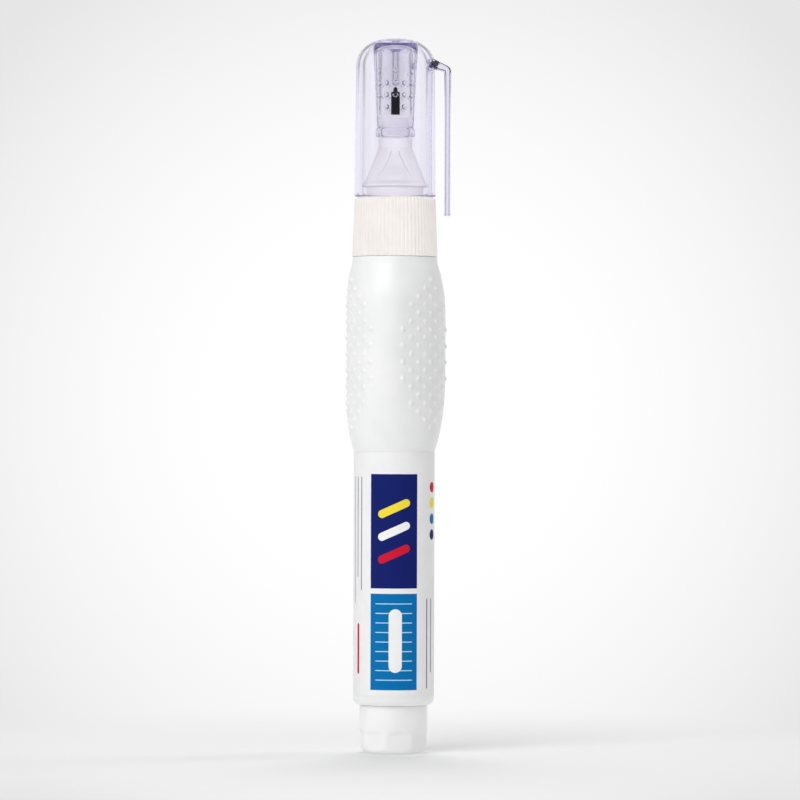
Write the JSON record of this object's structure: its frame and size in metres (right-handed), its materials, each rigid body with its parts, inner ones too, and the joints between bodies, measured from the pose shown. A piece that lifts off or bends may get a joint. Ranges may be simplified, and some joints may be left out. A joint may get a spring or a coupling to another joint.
{
  "type": "correction pen",
  "caption": "Squeeze correction pen with a pipped, three-faced white grip, printed wrap, ribbed collar, sprung metal tip and a clear lavender pull-off cap with a pocket clip.",
  "frame": {"origin": "centre of the tail plug's flat end, which the pen stands on", "axes": "+Z along the pen towards the cap, +X towards the pocket clip, -Y the side with the printed blocks"},
  "size_m": [0.0201, 0.0189, 0.1357],
  "materials": {
    "barrel_white": "satin moulded",
    "label_print": "printed film with navy and blue blocks",
    "plug_white": "satin moulded",
    "collar_cream": "fine ribbed",
    "nose_white": "smooth moulded",
    "seal_grey": "plain",
    "carrier_grey": "smooth moulded",
    "steel": "bright",
    "dark_steel": "dark polished",
    "cap_lavender": "clear tinted"
  },
  "bodies": {
    "pen_body": {"barrel": "barrel_white", "label_film": "label_print", "tail_plug": "plug_white", "ribbed_collar": "collar_cream", "neck_seal": "seal_grey", "nose_cone": "nose_white", "tip_holder": "nose_white", "metal_tip": "dark_steel", "spring_retainer": "carrier_grey", "valve_spring": "steel"},
    "cap_body": {"cap": "cap_lavender"},
    "clip": {"pocket_clip": "cap_lavender"},
    "needle": {"valve_needle": "steel", "needle_carrier": "carrier_grey"},
    "ball": {"mixing_ball": "steel"}
  },
  "joints": [
    {"name": "cap_pull", "type": "slide", "parent": "pen_body", "child": "cap_body", "axis": [0, 0, 1], "range_m": [0, 0.032]},
    {"name": "clip_flex", "type": "hinge", "parent": "cap_body", "child": "clip", "pos_m": [0.00991, 0, 0.1308], "axis": [0, -1, 0], "range_deg": [0, 4], "stiffness_Nm_per_rad": 0.4},
    {"name": "tip_press", "type": "slide", "parent": "pen_body", "child": "needle", "axis": [0, 0, -1], "range_m": [0, 0.0005], "stiffness_N_per_m": 250, "springref_m": -0.001, "deforming": ["valve_spring"]},
    {"name": "ball_rattle", "type": "slide", "parent": "pen_body", "child": "ball", "axis": [0, 0, 1], "range_m": [0, 0.0915]}
  ]
}
